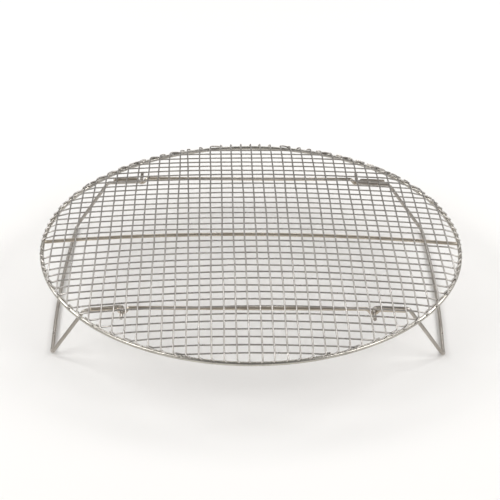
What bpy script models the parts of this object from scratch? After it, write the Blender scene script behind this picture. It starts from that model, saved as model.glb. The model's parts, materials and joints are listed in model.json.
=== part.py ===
"""Round wire cooling rack with two folding legs.

Units are metres and +Z is up. The origin is on the surface that the rack stands
on, under the middle of the rim. The lengthwise wires run front to back, along Y,
and the crosswise wires and the bars run left to right, along X.
"""

import math

import bpy
from mathutils import Vector

MM = 0.001

# Driving dimensions: the round deck
OUTER_RADIUS = 239.4 * MM      # outside edge of the rim
RIM_WIRE = 5.0 * MM            # the rim and the mesh ends bent over it
MESH_WIRE = 1.8 * MM
BAR_WIRE = 4.0 * MM
LENGTHWISE_PITCH = 12.7 * MM
CROSSWISE_PITCH = 12.6 * MM
LENGTHWISE_COUNT = 36
CROSSWISE_COUNT = 36           # the centre bar takes the place of one of them
CENTRE_BAR_PLACE = 18          # counted from the back, starting at 0
CENTRE_BAR_Y = -7.0 * MM
MESH_MIDDLE_X = -0.9 * MM      # the mesh isn't quite centred in the rim
MESH_MIDDLE_Y = -3.0 * MM
LEAN = math.radians(1.65)      # the lengthwise wires are this far off square
CROWN = 11.5 * MM              # rise of the mesh from the rim to the middle
CROWN_STEPS = 7                # straight lengths that stand for the crown's curve

# Driving dimensions: the legs and the bars that hold them
LEG_WIRE = 4.0 * MM
LEG_HEIGHT = 58.0 * MM         # floor rail to rim, between the wires' middles
UNDERFRAME_X = -2.7 * MM       # the bars and legs sit a little left of the rim's middle
PIN_X = 131.5 * MM             # hinge line of each leg, from the underframe's middle
ELBOW_X = 171.0 * MM
ELBOW_DROP = 1.0 * MM          # clear space between an elbow and the mesh
FOOT_X = 211.5 * MM
LEG_Y = 138.5 * MM             # plane of each sloping arm
PIN_TIP_Y = 160.0 * MM
BAR_Y = 143.0 * MM             # front and back bars
BAR_END_X = 165.0 * MM
SADDLE_HALF_ANGLE = math.radians(40.0)   # slope of the kink that holds a pin

# Clearances and bends
GAP = 0.3 * MM                 # between pieces that touch
PIN_GAP = 0.5 * MM             # between a pin's corners and the saddle under it
LOOP_BEND = 2.2 * MM
PIN_BEND = 3.5 * MM
ELBOW_BEND = 6.0 * MM
FOOT_BEND = 7.0 * MM
SHORTEST_STEP = 8.0 * MM       # no crown station is closer than this to an end

# Facets around a wire: flats face up, down and sideways
THIN_SIDES = 6
THICK_SIDES = 8
RIM_SEGMENTS = 72

# Heights that follow
FLOOR_RAIL_Z = LEG_WIRE / 2
RIM_Z = FLOOR_RAIL_Z + LEG_HEIGHT
RIM_RADIUS = OUTER_RADIUS - RIM_WIRE / 2
CHORD_DROP = 2 * CROWN / CROWN_STEPS ** 2    # straight lengths cut this far into the crown
CROSSWISE_LIFT = (RIM_WIRE + MESH_WIRE) / 2 + GAP + CHORD_DROP
LENGTHWISE_LIFT = CROSSWISE_LIFT + MESH_WIRE + GAP
CENTRE_BAR_LIFT = LENGTHWISE_LIFT - (MESH_WIRE + BAR_WIRE) / 2 - GAP


def sag(distance):
    """Fall of the deck at this distance from the middle, in straight lengths."""
    length = 2 * RIM_RADIUS / CROWN_STEPS
    place = abs(distance) / length - 0.5
    if place <= 0:
        return parabola(0.5 * length)
    station = math.floor(place)
    low = parabola((station + 0.5) * length)
    high = parabola((station + 1.5) * length)
    return low + (high - low) * (place - station)


def parabola(distance):
    return CROWN * (distance / RIM_RADIUS) ** 2


def deck_point(x, y, lift):
    """A point of the crowned deck, lift above the middle of the rim wire."""
    return Vector((x, y, RIM_Z + lift + CROWN - sag(x) - sag(y)))


def underside(x, y):
    """Height of the lowest mesh surface over this place of the underframe, on either side."""
    return deck_point(x + abs(UNDERFRAME_X), y, CROSSWISE_LIFT).z - MESH_WIRE / 2


def underframe_point(x, y, z):
    return Vector((x + UNDERFRAME_X, y, z))


def crown_stations(start, end):
    """Distances along a wire where the deck's slope changes."""
    length = 2 * RIM_RADIUS / CROWN_STEPS
    places = [(k - CROWN_STEPS / 2) * length for k in range(CROWN_STEPS + 1)]
    low, high = sorted((start, end))
    inner = [p for p in places if low + SHORTEST_STEP < p < high - SHORTEST_STEP]
    return inner if start < end else inner[::-1]


def rounded(path, radius, corners):
    """The path with these of its corners bent to a radius."""
    result = []
    for i, corner in enumerate(path):
        if i not in corners:
            result.append(corner)
            continue
        inward = (corner - path[i - 1]).normalized()
        outward = (path[i + 1] - corner).normalized()
        turn = inward.angle(outward)
        reach = min((corner - path[i - 1]).length, (path[i + 1] - corner).length)
        tangent = min(radius * math.tan(turn / 2), 0.6 * reach)
        bend = tangent / math.tan(turn / 2)
        side = (outward - inward * inward.dot(outward)).normalized()
        centre = corner - inward * tangent + side * bend
        steps = max(2, math.ceil(turn / math.radians(30)))
        for k in range(steps + 1):
            angle = turn * k / steps
            spoke = inward * math.sin(angle) - side * math.cos(angle)
            result.append(centre + spoke * bend)
    return result


def plated_steel(name, color, roughness):
    material = bpy.data.materials.new(name)
    material.use_nodes = True
    shader = material.node_tree.nodes["Principled BSDF"]
    shader.inputs["Base Color"].default_value = (*color, 1.0)
    shader.inputs["Metallic"].default_value = 1.0
    shader.inputs["Roughness"].default_value = roughness
    return material


def wire(name, path, diameter, sides, material, origin=Vector(), closed=False):
    """One bent wire, as wide across its flats as its diameter."""
    curve = bpy.data.curves.new(name, "CURVE")
    curve.dimensions = "3D"
    curve.twist_mode = "Z_UP"
    curve.bevel_depth = diameter / 2 / math.cos(math.pi / sides)
    curve.bevel_resolution = (sides - 4) // 2
    curve.use_fill_caps = True
    flat_up = math.pi / sides if sides % 4 == 0 else 0.0
    spline = curve.splines.new("POLY")
    spline.points.add(len(path) - 1)
    for point, place in zip(spline.points, path):
        point.co = (*(place - origin), 1.0)
        point.tilt = flat_up
    spline.use_cyclic_u = closed
    spline.use_smooth = True
    curve.materials.append(material)
    piece = bpy.data.objects.new(name, curve)
    piece.location = origin
    bpy.context.scene.collection.objects.link(piece)
    return piece


def make_rim():
    steel = plated_steel("rim_steel", (0.66, 0.64, 0.60), 0.25)
    ring = []
    for k in range(RIM_SEGMENTS):
        angle = 2 * math.pi * k / RIM_SEGMENTS
        ring.append(Vector((RIM_RADIUS * math.cos(angle), RIM_RADIUS * math.sin(angle), RIM_Z)))
    wire("rim", ring, RIM_WIRE, THICK_SIDES, steel, closed=True)


def lengthwise_run(place, backward):
    """One lengthwise wire, from rim to rim."""
    x = MESH_MIDDLE_X + (place - (LENGTHWISE_COUNT - 1) / 2) * LENGTHWISE_PITCH
    slope = -math.tan(LEAN)
    spread = 1 + slope ** 2
    root = math.sqrt(RIM_RADIUS ** 2 * spread - x ** 2)
    back = (-slope * x + root) / spread
    front = (-slope * x - root) / spread
    start, end = (front, back) if backward else (back, front)
    stations = [start, *crown_stations(start, end), end]
    return [deck_point(x + slope * y, y, LENGTHWISE_LIFT) for y in stations]


def crosswise_run(place, rightward):
    """One crosswise wire, from rim to rim."""
    y = MESH_MIDDLE_Y + ((CROSSWISE_COUNT - 1) / 2 - place) * CROSSWISE_PITCH
    reach = math.sqrt(RIM_RADIUS ** 2 - y ** 2)
    start, end = (-reach, reach) if rightward else (reach, -reach)
    stations = [start, *crown_stations(start, end), end]
    return [deck_point(x, y, CROSSWISE_LIFT) for x in stations]


def hairpin(first, second):
    """Two neighbouring wires joined by a loop that lies along the rim."""
    corner = len(first) - 1
    return rounded(first + second, LOOP_BEND, (corner, corner + 1))


def make_lengthwise_wires():
    steel = plated_steel("lengthwise_mesh_steel", (0.52, 0.51, 0.49), 0.3)
    for pair in range(LENGTHWISE_COUNT // 2):
        loop_at_back = pair % 2 == 0
        first = lengthwise_run(2 * pair, loop_at_back)
        second = lengthwise_run(2 * pair + 1, not loop_at_back)
        name = f"lengthwise_wires_{pair + 1:02d}"
        wire(name, hairpin(first, second), MESH_WIRE, THIN_SIDES, steel)


def make_crosswise_wires():
    steel = plated_steel("crosswise_mesh_steel", (0.52, 0.51, 0.49), 0.3)
    places = [p for p in range(CROSSWISE_COUNT) if p != CENTRE_BAR_PLACE]
    for pair in range(math.ceil(len(places) / 2)):
        loop_at_right = pair % 2 == 0
        group = places[2 * pair:2 * pair + 2]
        first = crosswise_run(group[0], loop_at_right)
        path = first
        if len(group) == 2:
            path = hairpin(first, crosswise_run(group[1], not loop_at_right))
        name = f"crosswise_wires_{pair + 1:02d}"
        wire(name, path, MESH_WIRE, THIN_SIDES, steel)


def make_centre_bar():
    steel = plated_steel("centre_bar_steel", (0.60, 0.58, 0.54), 0.3)
    inside = RIM_RADIUS - RIM_WIRE / 2 - GAP
    reach = math.sqrt(inside ** 2 - (abs(CENTRE_BAR_Y) + BAR_WIRE / 2) ** 2)
    stations = [-reach, *crown_stations(-reach, reach), reach]
    path = [deck_point(x, CENTRE_BAR_Y, CENTRE_BAR_LIFT) for x in stations]
    wire("centre_bar", path, BAR_WIRE, THICK_SIDES, steel)


def corner_radius(diameter):
    """Distance from a thick wire's middle to the edges between its facets."""
    return diameter / 2 / math.cos(math.pi / THICK_SIDES)


def pin_height():
    return underside(PIN_X, PIN_TIP_Y) - GAP - LEG_WIRE / 2


def make_hinge_bar(name, y):
    """A straight bar under the mesh with a kink that cradles each hinge pin."""
    steel = plated_steel(f"{name}_steel", (0.60, 0.57, 0.52), 0.3)
    saddle = corner_radius(LEG_WIRE) + corner_radius(BAR_WIRE) + PIN_GAP
    pin_z = pin_height()
    depth = saddle / math.sin(SADDLE_HALF_ANGLE)
    inner_z = underside(PIN_X - depth, y) - GAP - BAR_WIRE / 2
    outer_z = underside(BAR_END_X, y) - GAP - BAR_WIRE / 2
    inner_x = PIN_X - (inner_z - pin_z + depth) * math.tan(SADDLE_HALF_ANGLE)
    outer_x = PIN_X + (outer_z - pin_z + depth) * math.tan(SADDLE_HALF_ANGLE)
    half = [(inner_x, inner_z), (PIN_X, pin_z - depth), (outer_x, outer_z), (BAR_END_X, outer_z)]
    profile = [(-x, z) for x, z in reversed(half)] + half
    path = [underframe_point(x, y, z) for x, z in profile]
    path = rounded(path, saddle, (1, 2, 3, 4, 5, 6))
    wire(name, path, BAR_WIRE, THICK_SIDES, steel)


def make_leg(name, side):
    """One bent wire: pin, run under the mesh, arm, floor rail, and back again."""
    steel = plated_steel(f"{name}_steel", (0.50, 0.47, 0.44), 0.3)
    pin_z = pin_height()
    elbow_z = underside(ELBOW_X, LEG_Y) - ELBOW_DROP - LEG_WIRE / 2
    front = [
        underframe_point(side * PIN_X, -PIN_TIP_Y, pin_z),
        underframe_point(side * PIN_X, -LEG_Y, pin_z),
        underframe_point(side * ELBOW_X, -LEG_Y, elbow_z),
        underframe_point(side * FOOT_X, -LEG_Y, FLOOR_RAIL_Z),
    ]
    path = front + [Vector((p.x, -p.y, p.z)) for p in reversed(front)]
    path = rounded_leg(path)
    hinge = underframe_point(side * PIN_X, 0, pin_z)
    wire(name, path, LEG_WIRE, THICK_SIDES, steel, origin=hinge)


def rounded_leg(path):
    last = len(path) - 1
    for corner, radius in ((3, FOOT_BEND), (2, ELBOW_BEND), (1, PIN_BEND)):
        far = last - corner
        path = rounded(path, radius, (far,))
        path = rounded(path, radius, (corner,))
        last = len(path) - 1
    return path


def main():
    for old in list(bpy.data.objects):
        bpy.data.objects.remove(old, do_unlink=True)
    make_rim()
    make_crosswise_wires()
    make_lengthwise_wires()
    make_centre_bar()
    make_hinge_bar("front_bar", -BAR_Y)
    make_hinge_bar("back_bar", BAR_Y)
    make_leg("left_leg", -1)
    make_leg("right_leg", 1)


main()
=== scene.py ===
"""Looks of the round wire cooling rack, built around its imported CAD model.

Units are metres, +Z is up and the rack stands on z = 0. The mesh is made here of single
wires, the lengthwise ones welded on the crosswise ones, with ends bent over the rim.
"""

import json
import math
import random

import bpy
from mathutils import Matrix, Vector, noise


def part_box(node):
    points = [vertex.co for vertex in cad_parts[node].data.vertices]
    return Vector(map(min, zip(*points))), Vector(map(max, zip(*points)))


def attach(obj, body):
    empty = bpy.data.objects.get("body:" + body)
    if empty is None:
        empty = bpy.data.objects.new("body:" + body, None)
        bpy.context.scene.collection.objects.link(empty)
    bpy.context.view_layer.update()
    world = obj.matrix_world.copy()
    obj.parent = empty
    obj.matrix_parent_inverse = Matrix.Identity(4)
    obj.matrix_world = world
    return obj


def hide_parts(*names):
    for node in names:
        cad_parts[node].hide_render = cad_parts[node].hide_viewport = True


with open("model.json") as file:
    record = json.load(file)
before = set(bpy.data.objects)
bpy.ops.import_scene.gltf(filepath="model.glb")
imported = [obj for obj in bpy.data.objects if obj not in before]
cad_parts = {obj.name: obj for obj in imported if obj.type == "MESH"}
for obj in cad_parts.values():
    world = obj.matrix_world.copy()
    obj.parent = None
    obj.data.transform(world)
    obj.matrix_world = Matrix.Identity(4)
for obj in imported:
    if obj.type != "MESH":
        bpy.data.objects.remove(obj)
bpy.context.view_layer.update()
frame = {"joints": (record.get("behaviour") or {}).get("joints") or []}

MM = 0.001
UP = Vector((0, 0, 1))

# Places read from the frame
RIM_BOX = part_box("rim")
OUTER_RADIUS = RIM_BOX[1].x
RIM_Z = (RIM_BOX[0].z + RIM_BOX[1].z) / 2
CENTRE_BAR_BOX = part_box("centre_bar")
CENTRE_BAR_Y = (CENTRE_BAR_BOX[0].y + CENTRE_BAR_BOX[1].y) / 2
LEFT_PIN, RIGHT_PIN = (Vector(joint["pos_m"]) for joint in frame["joints"])
UNDERFRAME_X = (LEFT_PIN.x + RIGHT_PIN.x) / 2
PIN_X = (RIGHT_PIN.x - LEFT_PIN.x) / 2       # hinge lines, from the underframe's middle
PIN_Z = RIGHT_PIN.z

# Wire sizes
RIM_WIRE = 4.6 * MM
MESH_WIRE = 1.8 * MM
BAR_WIRE = 4.0 * MM
LEG_WIRE = 4.0 * MM
THIN_SIDES = 10                # faces around a mesh wire
THICK_SIDES = 20               # and around the rim, a bar or a leg
LONGEST_STEP = 6 * MM          # along a bar or a leg
BEND_STEP = math.radians(9)    # around its bends
HOOK_GAP = 0.05 * MM           # between a bent end and the rim wire
END_REACH = 1.5 * MM           # how far the longest ends stand out past the rim wire
RIM_RADIUS = OUTER_RADIUS - END_REACH - RIM_WIRE / 2
RIM_STEPS = 240
RIM_DRIFT = 0.12 * MM          # the ring is not quite round

# The mesh
LENGTHWISE_PITCH = 12.7 * MM
CROSSWISE_PITCH = 12.6 * MM
WIRE_COUNT = 36                # each way; the centre bar takes one crosswise place
CENTRE_BAR_PLACE = 18
MESH_MIDDLE = Vector((-0.9 * MM, -3.0 * MM))
LEAN = math.tan(math.radians(1.65))
CROWN = 11.5 * MM
DECK_LIFT = 4.8 * MM           # mean height of the mesh over the rim's middle, at the rim
LAYER = 0.86 * MM              # lengthwise wires lie this far over it, crosswise ones under it
FULL_HEIGHT_INSET = 6 * MM     # the mesh is at its full height this far inside the rim
STEPS_PER_CROSSING = 2
RIPPLE = 0.12 * MM             # unevenness of a wire's height
RIPPLE_LENGTH = 22 * MM
WANDER = 0.9 * MM              # how far a wire strays sideways
WANDER_LENGTH = 70 * MM
STRAYS = {12: -5.0 * MM, 13: -1.3 * MM}   # two lengthwise wires pushed over at the back
LEFT_SKEW = 5.0 * MM           # the crosswise wires of the front half bend forward at the left
LEFT_SKEW_REACH = 175 * MM
LEFT_SKEW_BACK = -10 * MM      # behind this line they stay straight
RIGHT_SKEW = 3.7 * MM          # and those of the back half bend backward at the right
RIGHT_SKEW_REACH = 190 * MM
RIGHT_SKEW_FRONT = -45 * MM    # in front of this line they stay straight
SKEW_BLEND = 25 * MM

# Wire ends bent over the rim. Angles are from the top of the rim wire, outwards.
CROSSWISE_START = math.radians(-52)
LAID_END = math.radians(-36)   # crosswise ends at the front lie on the rim's inner shoulder
WRAPPED_END = math.radians(30)   # at the sides and the back they are wrapped over it
LENGTHWISE_START = math.radians(-4)
SHORT_END = math.radians(30)   # lengthwise ends at the front and the sides
LONG_END = math.radians(56)    # and the longer, looser ones at the back
SHORT_SLACK = 0.2 * MM         # how far an end stands off the top of the rim
LONG_SLACK = 1.3 * MM
HOOK_STEPS = 14
APPROACH_STEP = 3 * MM         # along the last stretch before an end
FRONT_TRAVEL = 7.5 * MM        # farthest that a lengthwise end runs along the rim
BACK_TRAVEL = 11.0 * MM
LAID_TRAVEL = 6.5 * MM         # and a crosswise one
WRAPPED_TRAVEL = 10.5 * MM
LEAST_TRAVEL = 0.5 * MM
WRAPPED_EXTRA = 6.5 * MM       # added to that for a wrapped end
SLANT_TRAVEL = 13 * MM         # an end runs farther where its wire meets the rim at a slant
LOOPED = {14: 11.6 * MM, 21: 11.6 * MM}    # ends at the back laid across to the next wire

# Bars and legs
LEG_Y = 137.5 * MM
LEG_SLIP = {-1: -0.5 * MM, 1: -0.9 * MM}   # each leg's pins have slid forward in their kinks
FEET = {                       # corners of the floor rails
    (-1, -1): (-213.5 * MM, -138.0 * MM),
    (-1, 1): (-216.2 * MM, 134.0 * MM),
    (1, -1): (207.6 * MM, -138.9 * MM),
    (1, 1): (211.3 * MM, 127.5 * MM),
}
RAIL_BOW = 3.8 * MM            # both floor rails are bowed outwards
ELBOWS = {                     # distance from the underframe's middle, and height
    (-1, -1): (172.6 * MM, 57.4 * MM),     # left front
    (-1, 1): (172.0 * MM, 61.4 * MM),      # left back
    (1, -1): (168.8 * MM, 61.8 * MM),      # right front
    (1, 1): (171.3 * MM, 60.4 * MM),       # right back
}
TAIL_INNER_Z = 63.4 * MM       # a bar's tail falls outwards with the mesh
TAIL_OUTER_Z = 62.3 * MM
TAIL_INSET = 1.0 * MM          # its rounded tip ends inside the bar's CAD box
SADDLE_HALF_ANGLE = math.radians(40)   # a kink's sides, from upright
SADDLE_PLAY = 0.4 * MM
INNER_BEND = 5.0 * MM          # from the bar's middle stretch to a kink
OUTER_BEND = 2.6 * MM          # and from the kink to the tail
CENTRE_BAR_GAP = 1.5 * MM      # between the centre bar's ends and the rim
PIN_INSET = 0.6 * MM           # a pin's rounded tip ends inside the leg's CAD box
PIN_BEND = 4.5 * MM
ELBOW_BEND = 7.0 * MM
FOOT_BEND = 7.0 * MM
FLOOR_GAP = 0.01 * MM

# Camera, fitted to the rim and the mesh in the photo
CAMERA_LENS = 99.35            # mm, for a sensor 36 mm wide
CAMERA_PLACE = Vector((0.0, -1.3466, RIM_Z + 0.8033))
CAMERA_PITCH = math.radians(31.15)
CAMERA_YAW = math.radians(0.044)
CAMERA_ROLL = math.radians(0.249)


# ---------------------------------------------------------------- wire meshes

def bend_frames(points, closed):
    """A tangent and two side directions at each point, carried along without twist."""
    count = len(points)
    tangents = []
    for i in range(count):
        ahead = points[(i + 1) % count] if closed or i + 1 < count else points[i]
        behind = points[i - 1] if closed or i > 0 else points[i]
        tangents.append((ahead - behind).normalized())
    side = tangents[0].cross(UP)
    if side.length < 0.1:
        side = tangents[0].cross(Vector((0, 1, 0)))
    side.normalize()
    frames = []
    for tangent in tangents:
        side = (side - tangent * side.dot(tangent)).normalized()
        frames.append((tangent, side, side.cross(tangent)))
    return frames


def tube(points, radius, sides, closed=False):
    """Vertices, faces and (round, along) places of a wire with rounded ends."""
    frames = bend_frames(points, closed)
    rings = [(p, f, radius) for p, f in zip(points, frames)]
    if not closed:
        rings = rounded_end(rings[0], radius, -1) + rings + rounded_end(rings[-1], radius, 1)
    vertices, faces, places = [], [], []
    along = 0.0
    for k, (middle, (_, side, over), size) in enumerate(rings):
        if k:
            along += (middle - rings[k - 1][0]).length
        for s in range(sides):
            angle = 2 * math.pi * s / sides
            vertices.append(middle + (side * math.cos(angle) + over * math.sin(angle)) * size)
            places.append((s / sides, along))
    last = len(rings) if closed else len(rings) - 1
    for k in range(last):
        near, far = k * sides, (k + 1) % len(rings) * sides
        for s in range(sides):
            beside = (s + 1) % sides
            faces.append((near + s, near + beside, far + beside, far + s))
    if not closed:
        faces.append(tuple(range(sides))[::-1])
        faces.append(tuple(range(last * sides, last * sides + sides)))
    return vertices, faces, places


def rounded_end(ring, radius, way):
    """The rings of a wire's domed tip, past its first or last ring."""
    middle, directions, _ = ring
    tangent = directions[0]
    cap = []
    for degrees in (25, 50, 70, 84):
        angle = math.radians(degrees)
        place = middle + tangent * (way * radius * math.sin(angle))
        cap.append((place, directions, radius * math.cos(angle)))
    return cap if way > 0 else cap[::-1]


def add_piece(name, parts, material, body, slot, *nodes):
    """One visible piece made of closed wire meshes; it stands for these CAD nodes."""
    vertices, faces, places = [], [], []
    for part_vertices, part_faces, part_places in parts:
        base = len(vertices)
        vertices += part_vertices
        places += part_places
        faces += [tuple(base + v for v in face) for face in part_faces]
    mesh = bpy.data.meshes.new(name)
    mesh.from_pydata(vertices, [], faces)
    layer = mesh.uv_layers.new(name="wire")
    for loop in mesh.loops:
        layer.data[loop.index].uv = places[loop.vertex_index]
    mesh.shade_smooth()
    mesh.materials.append(material)
    piece = bpy.data.objects.new(name, mesh)
    bpy.context.scene.collection.objects.link(piece)
    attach(piece, body)
    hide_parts(*nodes)


def smooth_path(points, spacing):
    """Points about this far apart on a smooth curve through the given ones."""
    result = []
    for i in range(len(points) - 1):
        p1, p2 = points[i], points[i + 1]
        p0 = points[i - 1] if i else p1 * 2 - p2
        p3 = points[i + 2] if i + 2 < len(points) else p2 * 2 - p1
        steps = max(1, round((p2 - p1).length / spacing))
        for k in range(steps):
            t = k / steps
            bend = (p0 * -1 + p1 * 3 - p2 * 3 + p3) * t ** 3
            bend += (p0 * 2 - p1 * 5 + p2 * 4 - p3) * t ** 2 + (p2 - p0) * t
            result.append(p1 + bend / 2)
    result.append(points[-1])
    return result


def rounded(path, bends):
    """The path with each corner bent to its radius, then filled with short steps."""
    result = [path[0]]
    for i in range(1, len(path) - 1):
        corner = path[i]
        inward = (corner - path[i - 1]).normalized()
        outward = (path[i + 1] - corner).normalized()
        turn = inward.angle(outward)
        setback = bends[i - 1] * math.tan(turn / 2)
        side = (outward - inward * inward.dot(outward)).normalized()
        centre = corner - inward * setback + side * bends[i - 1]
        steps = max(4, math.ceil(turn / BEND_STEP))
        for k in range(steps + 1):
            angle = turn * k / steps
            spoke = inward * math.sin(angle) - side * math.cos(angle)
            result.append(centre + spoke * bends[i - 1])
    result.append(path[-1])
    return divided(result)


def divided(path):
    """The same path with no step longer than LONGEST_STEP."""
    result = [path[0]]
    for start, end in zip(path, path[1:]):
        steps = max(1, math.ceil((end - start).length / LONGEST_STEP))
        result += [start.lerp(end, k / steps) for k in range(1, steps + 1)]
    return result


# ---------------------------------------------------------------- the mesh

def deck_height(x, y):
    """Mean height of the crowned mesh."""
    return RIM_Z + DECK_LIFT + CROWN * (1 - (x * x + y * y) / RIM_RADIUS ** 2)


def wander(seed, distance):
    """Slow sideways wander of one wire along its length."""
    return WANDER * noise.noise(Vector((distance / WANDER_LENGTH, seed * 7.31, 0.5)))


def ripple(seed, distance):
    """Small rise and fall of one wire along its length."""
    return RIPPLE * noise.noise(Vector((distance / RIPPLE_LENGTH, seed * 3.7, 9.5)))


def lengthwise_x(place, y):
    """Where a lengthwise wire lies at this y; place counts from the left."""
    x = MESH_MIDDLE.x + (place - (WIRE_COUNT - 1) / 2) * LENGTHWISE_PITCH - LEAN * y
    pushed = max(0.0, y / RIM_RADIUS) ** 1.5
    return x + wander(place, y) + STRAYS.get(place, 0.0) * pushed


def crosswise_y(place, x):
    """Where a crosswise wire lies at this x; place counts from the back."""
    if place == CENTRE_BAR_PLACE:
        return CENTRE_BAR_Y
    y = MESH_MIDDLE.y + ((WIRE_COUNT - 1) / 2 - place) * CROSSWISE_PITCH
    return y + wander(place + 100, x) + skew(x, y)


def skew(x, y):
    """How far a crosswise wire is bent along Y towards its ends."""
    if x < 0:
        share = smooth_step((LEFT_SKEW_BACK - y) / SKEW_BLEND)
        return -LEFT_SKEW * (-x / LEFT_SKEW_REACH) ** 1.1 * share
    share = smooth_step((y - RIGHT_SKEW_FRONT) / SKEW_BLEND)
    return RIGHT_SKEW * x / RIGHT_SKEW_REACH * share


def smooth_step(t):
    """A soft step from 0 to 1."""
    t = min(1.0, max(0.0, t))
    return t * t * (3 - 2 * t)


def crossing(lengthwise, crosswise):
    """Where two wires cross, seen from above."""
    y = crosswise_y(crosswise, 0.0)
    for _ in range(4):
        x = lengthwise_x(lengthwise, y)
        y = crosswise_y(crosswise, x)
    return x, y


def rim_meeting(line, start, way):
    """Where a wire's line meets the middle of the rim, going one way from a point."""
    low, high = 0.0, 2.2 * RIM_RADIUS
    for _ in range(40):
        middle = (low + high) / 2
        if line(start + way * middle).length < RIM_RADIUS:
            low = middle
        else:
            high = middle
    return start + way * low


def straight_run(line, crossings, layer, seed):
    """The middle of a mesh wire between its first and last crossings."""
    points = []
    for k in range(1, len(crossings)):
        for step in range(STEPS_PER_CROSSING):
            t = step / STEPS_PER_CROSSING
            place = crossings[k - 1] + (crossings[k] - crossings[k - 1]) * t
            points.append(lifted(line, place, layer + ripple(seed, place)))
    points.append(lifted(line, crossings[-1], layer + ripple(seed, crossings[-1])))
    return points


def lifted(line, place, height):
    """A point of a wire's line, this high over the mean height of the mesh."""
    flat = line(place)
    return Vector((flat.x, flat.y, deck_height(flat.x, flat.y) + height))


def bent_end(meeting, direction, kind, travel, stagger):
    """The end of a wire, from the inner side of the rim, bent to lie along the rim.

    meeting is where the wire reaches the rim and direction the way it is going, both seen
    from above. Every end goes over the rim, but for the crosswise ones at the front.
    """
    spot = math.atan2(meeting.y, meeting.x)
    radial = Vector((math.cos(spot), math.sin(spot), 0))
    slant = direction.y * radial.x - direction.x * radial.y
    slope = abs(slant) / max(0.15, direction.x * radial.x + direction.y * radial.y)
    backness = smooth_step((radial.y - 0.35) / 0.3)
    sideways = smooth_step(slope / 0.7)
    slack = 0.0
    least = LEAST_TRAVEL
    if kind == "crosswise":
        wrapped = smooth_step((radial.y + 0.62) / 0.2)
        first = CROSSWISE_START
        last = LAID_END + (WRAPPED_END - LAID_END) * wrapped + stagger
        farthest = LAID_TRAVEL + (WRAPPED_TRAVEL - LAID_TRAVEL) * wrapped
        least += WRAPPED_EXTRA * wrapped
    else:
        first = LENGTHWISE_START
        last = SHORT_END + (LONG_END - SHORT_END) * backness + stagger
        slack = SHORT_SLACK + (LONG_SLACK - SHORT_SLACK) * backness * (1 - sideways)
        farthest = FRONT_TRAVEL + (BACK_TRAVEL - FRONT_TRAVEL) * backness
    if travel is None:
        travel = math.copysign(min(farthest, least + slope * SLANT_TRAVEL), slant)
    tight = (RIM_WIRE + MESH_WIRE) / 2 + HOOK_GAP
    points = []
    for k in range(HOOK_STEPS + 1):
        t = k / HOOK_STEPS
        angle = first + (last - first) * t
        reach = tight + slack * math.cos(min(abs(angle) * 1.15, math.pi / 2)) ** 2
        here = spot + travel * t ** 1.25 / RIM_RADIUS
        outward = Vector((math.cos(here), math.sin(here), 0))
        middle = outward * RIM_RADIUS + UP * RIM_Z
        over = UP * (reach * math.cos(angle)) + outward * (reach * math.sin(angle))
        points.append(middle + over)
    return points


def whole_wire(line, crossings, kind, place, rng):
    """A mesh wire: bent end, straight run, bent end."""
    layer = LAYER if kind == "lengthwise" else -LAYER
    seed = place + (50 if kind == "crosswise" else 0)
    run = straight_run(line, crossings, layer, seed)
    for way, start in ((-1, crossings[0]), (1, crossings[-1])):
        stagger = math.radians(rng.uniform(-6, 4))
        travel = -LOOPED[place] if way > 0 and kind == "lengthwise" and place in LOOPED else None
        end = rim_meeting(line, start, way)
        heading = (line(end) - line(end - way * MM)).normalized()
        hook = bent_end(line(end), heading, kind, travel, stagger)
        run = joined_end(hook, run if way < 0 else run[::-1])
    return run


def joined_end(end, run):
    """The hook, a smooth approach and the run, in one line that starts at the tip."""
    approach = smooth_path([end[1], end[0], run[0], run[1]], APPROACH_STEP)
    first = min(range(len(approach)), key=lambda k: (approach[k] - end[0]).length)
    last = min(range(len(approach)), key=lambda k: (approach[k] - run[0]).length)
    return end[::-1] + approach[first + 1:last] + run


def lengthwise_line(place):
    """A lengthwise wire seen from above, as a function of y."""
    return lambda y: Vector((lengthwise_x(place, y), y))


def crosswise_line(place):
    """A crosswise wire seen from above, as a function of x."""
    return lambda x: Vector((x, crosswise_y(place, x)))


def make_mesh(material):
    """Every mesh wire; a piece is the pair of wires that its CAD node stands for."""
    rng = random.Random(7)
    wires = {"lengthwise": [], "crosswise": []}
    for place in range(WIRE_COUNT):
        stations = [crossing(place, p) for p in range(WIRE_COUNT)]
        stations = sorted(y for x, y in stations if inside(x, y))
        path = whole_wire(lengthwise_line(place), stations, "lengthwise", place, rng)
        wires["lengthwise"].append(tube(path, MESH_WIRE / 2, THIN_SIDES))
    for place in range(WIRE_COUNT):
        if place == CENTRE_BAR_PLACE:
            continue
        stations = [crossing(p, place) for p in range(WIRE_COUNT)]
        stations = sorted(x for x, y in stations if inside(x, y))
        path = whole_wire(crosswise_line(place), stations, "crosswise", place, rng)
        wires["crosswise"].append(tube(path, MESH_WIRE / 2, THIN_SIDES))
    for kind, tubes in wires.items():
        for pair in range(WIRE_COUNT // 2):
            node = f"{kind}_wires_{pair + 1:02d}"
            parts = tubes[2 * pair:2 * pair + 2]
            add_piece(f"mesh_{node}", parts, material, "deck", "mesh_wire", node)


def inside(x, y):
    """Far enough inside the rim for the mesh to be at its full height."""
    return math.hypot(x, y) < RIM_RADIUS - FULL_HEIGHT_INSET


# ---------------------------------------------------------------- rim, bars and legs

def make_rim(material):
    """One ring of thick wire, slightly out of round."""
    path = []
    for k in range(RIM_STEPS):
        angle = 2 * math.pi * k / RIM_STEPS
        around = Vector((math.cos(angle), math.sin(angle), 0))
        drift = RIM_DRIFT * noise.noise(around * 3)
        path.append(around * (RIM_RADIUS + drift) + UP * RIM_Z)
    ring = tube(path, RIM_WIRE / 2, THICK_SIDES, closed=True)
    add_piece("rim_wire", [ring], material, "deck", "rim_wire", "rim")


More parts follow.
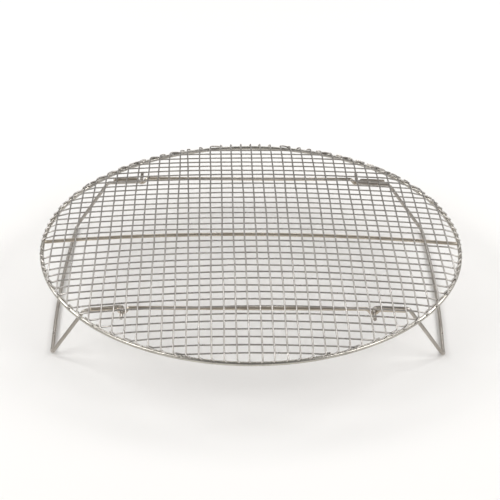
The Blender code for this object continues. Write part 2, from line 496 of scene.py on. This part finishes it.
def make_centre_bar(material):
    """A thick wire across the rack, bowed with the mesh wires that lie on it."""
    reach = math.sqrt((RIM_RADIUS - RIM_WIRE / 2) ** 2 - CENTRE_BAR_Y ** 2) - CENTRE_BAR_GAP
    drop = (MESH_WIRE + BAR_WIRE) / 2 - LAYER
    path = []
    steps = 96
    for k in range(steps + 1):
        x = reach * (2 * k / steps - 1)
        path.append(Vector((x, CENTRE_BAR_Y, deck_height(x, CENTRE_BAR_Y) - drop)))
    bar = tube(path, BAR_WIRE / 2, THICK_SIDES)
    add_piece("centre_bar_wire", [bar], material, "deck", "bar_wire", "centre_bar")


def make_hinge_bar(name, material):
    """A bar under the mesh with a kink at each end that holds a hinge pin."""
    low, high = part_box(name)
    y = (low.y + high.y) / 2
    end_x = (high.x - low.x) / 2 - TAIL_INSET
    straight_z = high.z - BAR_WIRE / 2
    saddle = (LEG_WIRE + BAR_WIRE) / 2 + SADDLE_PLAY
    bottom_z = PIN_Z - saddle / math.sin(SADDLE_HALF_ANGLE)
    spread = math.tan(SADDLE_HALF_ANGLE)
    half = [
        (PIN_X - (straight_z - bottom_z) * spread, straight_z),
        (PIN_X, bottom_z),
        (PIN_X + (TAIL_INNER_Z - bottom_z) * spread, TAIL_INNER_Z),
        (end_x, TAIL_OUTER_Z),
    ]
    profile = [(-x, z) for x, z in reversed(half)] + half
    path = [Vector((UNDERFRAME_X + x, y, z)) for x, z in profile]
    bends = [OUTER_BEND, saddle, INNER_BEND]
    bar = tube(rounded(path, bends + bends[::-1]), BAR_WIRE / 2, THICK_SIDES)
    add_piece(f"{name}_wire", [bar], material, "deck", "bar_wire", name)


def make_leg(name, side, material):
    """Pin, run under the mesh, elbow, arm and floor rail, and the same again at the back."""
    tip_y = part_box(name)[1].y - PIN_INSET
    pin_x = UNDERFRAME_X + side * PIN_X
    slip = LEG_SLIP[side]
    corners, bends = [], []
    for end in (-1, 1):
        elbow_x, elbow_z = ELBOWS[side, end]
        foot_x, foot_y = FEET[side, end]
        half = [
            Vector((pin_x, end * tip_y + slip, PIN_Z)),
            Vector((pin_x, end * LEG_Y + slip, PIN_Z)),
            Vector((UNDERFRAME_X + side * elbow_x, end * LEG_Y + slip, elbow_z)),
            Vector((foot_x, foot_y, LEG_WIRE / 2 + FLOOR_GAP)),
        ]
        corners += half if end < 0 else half[::-1]
        bends += [PIN_BEND, ELBOW_BEND, FOOT_BEND][::-end]
    path = rounded(corners, bends)
    half_rail = LEG_Y - 2 * FOOT_BEND
    for point in path:
        if point.z < LEG_WIRE:
            point.x += side * RAIL_BOW * max(0.0, 1 - (point.y / half_rail) ** 2)
    leg = tube(path, LEG_WIRE / 2, THICK_SIDES)
    add_piece(f"{name}_wire", [leg], material, name, "leg_wire", name)


# ---------------------------------------------------------------- finishes

def new_node(tree, kind, place, **values):
    """A shader node with these settings, at this place of the node editor."""
    node = tree.nodes.new(kind)
    node.location = place
    for name, value in values.items():
        setattr(node, name, value)
    return node


def plated_steel(name, clean, stained, roughness, stain_amount, line_strength):
    """Drawn and plated steel wire: patchy tone, fine drawn lines, small pits and stains."""
    material = bpy.data.materials.new(name)
    material.use_nodes = True
    tree = material.node_tree
    link = tree.links.new
    shader = tree.nodes["Principled BSDF"]
    shader.inputs["Metallic"].default_value = 1.0
    place = new_node(tree, "ShaderNodeTexCoord", (-1400, 0))
    wire = new_node(tree, "ShaderNodeUVMap", (-1400, -400), uv_map="wire")

    patches = new_node(tree, "ShaderNodeTexNoise", (-1150, 250))
    patches.inputs["Scale"].default_value = 55.0
    patches.inputs["Detail"].default_value = 6.0
    patches.inputs["Roughness"].default_value = 0.6
    link(place.outputs["Object"], patches.inputs["Vector"])
    patch_ramp = new_node(tree, "ShaderNodeMapRange", (-900, 250))
    patch_ramp.inputs["From Min"].default_value = 0.38
    patch_ramp.inputs["From Max"].default_value = 0.68
    patch_ramp.inputs["To Max"].default_value = stain_amount
    link(patches.outputs["Fac"], patch_ramp.inputs["Value"])
    tone = new_node(tree, "ShaderNodeMix", (-600, 250), data_type="RGBA")
    tone.inputs["A"].default_value = (*clean, 1.0)
    tone.inputs["B"].default_value = (*stained, 1.0)
    link(patch_ramp.outputs["Result"], tone.inputs["Factor"])

    specks = new_node(tree, "ShaderNodeTexVoronoi", (-1150, -50))
    specks.inputs["Scale"].default_value = 420.0
    link(place.outputs["Object"], specks.inputs["Vector"])
    speck_ramp = new_node(tree, "ShaderNodeMapRange", (-900, -50))
    speck_ramp.inputs["From Min"].default_value = 0.06
    speck_ramp.inputs["From Max"].default_value = 0.2
    speck_ramp.inputs["To Min"].default_value = 0.62
    speck_ramp.inputs["To Max"].default_value = 1.0
    link(specks.outputs["Distance"], speck_ramp.inputs["Value"])
    speckled = new_node(tree, "ShaderNodeMix", (-350, 200), data_type="RGBA", blend_type="MULTIPLY")
    speckled.inputs["Factor"].default_value = 1.0
    link(tone.outputs["Result"], speckled.inputs["A"])
    link(speck_ramp.outputs["Result"], speckled.inputs["B"])
    link(speckled.outputs["Result"], shader.inputs["Base Color"])

    rough = new_node(tree, "ShaderNodeMapRange", (-600, -50))
    rough.inputs["From Min"].default_value = 0.3
    rough.inputs["From Max"].default_value = 0.7
    rough.inputs["To Min"].default_value = roughness - 0.06
    rough.inputs["To Max"].default_value = roughness + 0.12
    link(patches.outputs["Fac"], rough.inputs["Value"])
    link(rough.outputs["Result"], shader.inputs["Roughness"])

    lines_place = new_node(tree, "ShaderNodeMapping", (-1150, -400))
    lines_place.inputs["Scale"].default_value = (40.0, 60.0, 1.0)
    link(wire.outputs["UV"], lines_place.inputs["Vector"])
    lines = new_node(tree, "ShaderNodeTexNoise", (-900, -400))
    lines.inputs["Scale"].default_value = 1.0
    lines.inputs["Detail"].default_value = 3.0
    link(lines_place.outputs["Vector"], lines.inputs["Vector"])
    line_bump = new_node(tree, "ShaderNodeBump", (-600, -400))
    line_bump.inputs["Strength"].default_value = line_strength
    line_bump.inputs["Distance"].default_value = 0.06 * MM
    link(lines.outputs["Fac"], line_bump.inputs["Height"])
    pit_bump = new_node(tree, "ShaderNodeBump", (-350, -300))
    pit_bump.inputs["Strength"].default_value = 0.5
    pit_bump.inputs["Distance"].default_value = 0.12 * MM
    link(patches.outputs["Fac"], pit_bump.inputs["Height"])
    link(line_bump.outputs["Normal"], pit_bump.inputs["Normal"])
    link(pit_bump.outputs["Normal"], shader.inputs["Normal"])
    return material


# ---------------------------------------------------------------- studio

def make_studio():
    """A plain pale floor, a dim white world and soft lights at the sides and the back."""
    bpy.ops.mesh.primitive_plane_add(size=40, location=(0, 0, -0.2 * MM))
    floor = bpy.context.object
    floor.name = "studio_floor"
    material = bpy.data.materials.new("studio_white")
    material.use_nodes = True
    shader = material.node_tree.nodes["Principled BSDF"]
    shader.inputs["Base Color"].default_value = (0.93, 0.915, 0.895, 1.0)
    shader.inputs["Roughness"].default_value = 0.9
    shader.inputs["Specular IOR Level"].default_value = 0.1
    floor.data.materials.append(material)

    world = bpy.data.worlds.new("studio_world")
    world.use_nodes = True
    backdrop = world.node_tree.nodes["Background"]
    backdrop.inputs["Color"].default_value = (1.0, 1.0, 1.0, 1.0)
    backdrop.inputs["Strength"].default_value = 0.27
    bpy.context.scene.world = world
    bpy.context.scene.view_settings.view_transform = "Standard"

    for side, word in ((-1, "left"), (1, "right")):
        add_light(f"{word}_front_light", (2.0 * side, -1.1, 1.75), (0, 0, 0), (1.6, 1.2), 27.0)
        add_light(f"{word}_back_light", (1.95 * side, 0.85, 1.5), (0, 0, 0), (1.0, 0.9), 20.0)
    add_light("back_light", (0.0, 2.2, 2.15), (0, 0, 0.1), (2.8, 0.7), 21.0)


def add_light(name, place, target, size, power):
    """A soft rectangular light aimed at a point."""
    data = bpy.data.lights.new(name, "AREA")
    data.shape = "RECTANGLE"
    data.size, data.size_y = size
    data.energy = power
    lamp = bpy.data.objects.new(name, data)
    lamp.location = place
    aim = Vector(target) - Vector(place)
    lamp.rotation_euler = aim.to_track_quat("-Z", "Y").to_euler()
    bpy.context.scene.collection.objects.link(lamp)


def make_camera():
    """The photo's view: from the front and about 31 degrees above."""
    data = bpy.data.cameras.new("product_camera")
    data.sensor_width = 36.0
    data.lens = CAMERA_LENS
    camera = bpy.data.objects.new("product_camera", data)
    camera.location = CAMERA_PLACE
    camera.rotation_mode = "XYZ"
    camera.rotation_euler = (math.pi / 2 - CAMERA_PITCH, 0.0, CAMERA_YAW)
    camera.rotation_euler.rotate_axis("Z", CAMERA_ROLL)
    bpy.context.scene.collection.objects.link(camera)
    bpy.context.scene.camera = camera


def main():
    """Build every piece, the floor, the lights and the camera."""
    mesh_steel = plated_steel("mesh_steel", (0.55, 0.525, 0.495), (0.33, 0.305, 0.28), 0.28, 0.8, 0.3)
    rim_steel = plated_steel("rim_steel", (0.54, 0.515, 0.465), (0.32, 0.30, 0.265), 0.22, 0.7, 0.25)
    bar_steel = plated_steel("bar_steel", (0.58, 0.52, 0.44), (0.34, 0.29, 0.23), 0.28, 0.7, 0.3)
    leg_steel = plated_steel("leg_steel", (0.50, 0.465, 0.425), (0.31, 0.28, 0.245), 0.3, 0.7, 0.35)
    make_rim(rim_steel)
    make_mesh(mesh_steel)
    make_centre_bar(bar_steel)
    make_hinge_bar("front_bar", bar_steel)
    make_hinge_bar("back_bar", bar_steel)
    make_leg("left_leg", -1, leg_steel)
    make_leg("right_leg", 1, leg_steel)
    make_studio()
    make_camera()


main()
